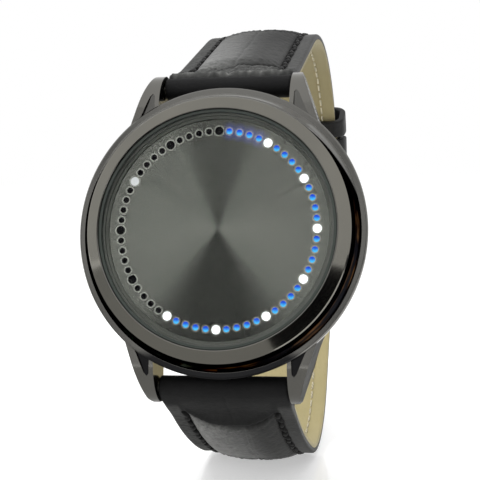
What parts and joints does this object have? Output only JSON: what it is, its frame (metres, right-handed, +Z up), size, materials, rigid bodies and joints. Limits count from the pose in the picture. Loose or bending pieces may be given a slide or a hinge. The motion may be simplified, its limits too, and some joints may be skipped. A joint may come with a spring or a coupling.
{
  "type": "digital watch",
  "caption": "Round touch-screen wristwatch whose hours and minutes show as rings of lamps under the glass, on a padded leather strap buckled into a loop.",
  "frame": {"origin": "centre of the case back's outer face, which rests on the wrist", "axes": "+X towards 3 o'clock; the dial faces -Y and, as the watch leans back by 12 degrees, a little up; +Z is up"},
  "size_m": [0.0472, 0.0964, 0.0826],
  "materials": {
    "dark_steel": "polished gunmetal plating",
    "crystal_glass": "clear flat mineral glass",
    "seal_rubber": "matt black",
    "black_plastic": "matt black",
    "dial_metal": "dark grey, brushed in rays from the centre",
    "clear_plastic": "clear diffusing",
    "blue_plastic": "clear blue",
    "film": "clear conductive film",
    "board": "solder-masked glass fibre board",
    "lamp": "small lamp bodies",
    "chip": "moulded package",
    "ceramic": "small ceramic blocks",
    "contact_metal": "sprung sheet",
    "cell_steel": "drawn can",
    "steel": "turned and stamped parts",
    "back_steel": "fine straight brushing",
    "buckle_steel": "polished",
    "black_leather": "scale-embossed, soft sheen",
    "keeper_leather": "plain matt black",
    "tan_leather": "smooth tan lining",
    "pad_felt": "soft felt pad",
    "black_thread": "waxed thread"
  },
  "bodies": {
    "head": {"case_middle": "dark_steel", "bezel": "dark_steel", "crystal": "crystal_glass", "crystal_gasket": "seal_rubber", "inner_ring": "black_plastic", "dial_plate": "dial_metal", "hour_windows": "clear_plastic", "minute_windows": "blue_plastic", "touch_film": "film", "light_mask": "black_plastic", "circuit_board": "board", "hour_leds": "lamp", "minute_leds": "lamp", "controller_chip": "chip", "quartz_can": "steel", "capacitors": "ceramic", "works_holder": "black_plastic", "battery_contact": "contact_metal", "front_cell": "cell_steel", "rear_cell": "cell_steel", "battery_clip": "steel", "clip_screws": "steel", "case_back_seal": "seal_rubber", "case_back": "back_steel", "case_back_screws": "steel", "upper_bar_tube": "steel", "upper_bar_spring": "steel", "lower_bar_tube": "steel", "lower_bar_spring": "steel"},
    "short_strap": {"short_strap_leather": "black_leather", "short_strap_padding": "pad_felt", "short_strap_lining": "tan_leather", "short_strap_stitching": "black_thread", "fixed_keeper": "keeper_leather", "buckle_bar_tube": "steel", "buckle_bar_spring": "steel"},
    "long_strap": {"long_strap_leather": "black_leather", "long_strap_padding": "pad_felt", "long_strap_lining": "tan_leather", "long_strap_stitching": "black_thread"},
    "free_keeper": {"free_keeper": "keeper_leather"},
    "buckle_frame": {"buckle_frame": "buckle_steel"},
    "buckle_tang": {"buckle_tang": "buckle_steel"},
    "upper_bar_left_tip": {"upper_bar_left_tip": "steel"},
    "upper_bar_right_tip": {"upper_bar_right_tip": "steel"},
    "lower_bar_left_tip": {"lower_bar_left_tip": "steel"},
    "lower_bar_right_tip": {"lower_bar_right_tip": "steel"},
    "buckle_bar_left_tip": {"buckle_bar_left_tip": "steel"},
    "buckle_bar_right_tip": {"buckle_bar_right_tip": "steel"}
  },
  "joints": [
    {"name": "short_strap_swing", "type": "hinge", "parent": "head", "child": "short_strap", "pos_m": [0, 0.00358, 0.025], "axis": [1, 0, 0], "range_deg": [0, 60], "deforming": ["short_strap_leather", "short_strap_padding", "short_strap_lining", "short_strap_stitching"]},
    {"name": "long_strap_swing", "type": "hinge", "parent": "head", "child": "long_strap", "pos_m": [0, -0.0069, -0.0243], "axis": [-1, 0, 0], "range_deg": [0, 54], "deforming": ["long_strap_leather", "long_strap_padding", "long_strap_lining", "long_strap_stitching"]},
    {"name": "free_keeper_slide", "type": "hinge", "parent": "short_strap", "child": "free_keeper", "pos_m": [0, 0.05781, 0.01325], "axis": [1, 0, 0], "range_deg": [0, 15]},
    {"name": "buckle_frame_swing", "type": "hinge", "parent": "short_strap", "child": "buckle_frame", "pos_m": [0, 0.07412, 0.00845], "axis": [1, 0, 0], "range_deg": [0, 40]},
    {"name": "buckle_tang_swing", "type": "hinge", "parent": "short_strap", "child": "buckle_tang", "pos_m": [0, 0.07412, 0.00845], "axis": [1, 0, 0], "range_deg": [0, 75]},
    {"name": "upper_bar_left_tip_press", "type": "slide", "parent": "head", "child": "upper_bar_left_tip", "axis": [1, 0, 0], "range_m": [0, 0.00085], "stiffness_N_per_m": 200, "springref_m": -0.001, "deforming": ["upper_bar_spring"]},
    {"name": "upper_bar_right_tip_press", "type": "slide", "parent": "head", "child": "upper_bar_right_tip", "axis": [-1, 0, 0], "range_m": [0, 0.00085], "stiffness_N_per_m": 200, "springref_m": -0.001},
    {"name": "lower_bar_left_tip_press", "type": "slide", "parent": "head", "child": "lower_bar_left_tip", "axis": [1, 0, 0], "range_m": [0, 0.00085], "stiffness_N_per_m": 200, "springref_m": -0.001, "deforming": ["lower_bar_spring"]},
    {"name": "lower_bar_right_tip_press", "type": "slide", "parent": "head", "child": "lower_bar_right_tip", "axis": [-1, 0, 0], "range_m": [0, 0.00085], "stiffness_N_per_m": 200, "springref_m": -0.001},
    {"name": "buckle_bar_left_tip_press", "type": "slide", "parent": "short_strap", "child": "buckle_bar_left_tip", "axis": [1, 0, 0], "range_m": [0, 0.00085], "stiffness_N_per_m": 200, "springref_m": -0.001, "deforming": ["buckle_bar_spring"]},
    {"name": "buckle_bar_right_tip_press", "type": "slide", "parent": "short_strap", "child": "buckle_bar_right_tip", "axis": [-1, 0, 0], "range_m": [0, 0.00085], "stiffness_N_per_m": 200, "springref_m": -0.001}
  ],
  "couplings": [
    {"joint": "buckle_frame_swing", "follows": "long_strap_swing", "ratio": 0.7407},
    {"joint": "buckle_tang_swing", "follows": "long_strap_swing", "ratio": 1.3888}
  ]
}
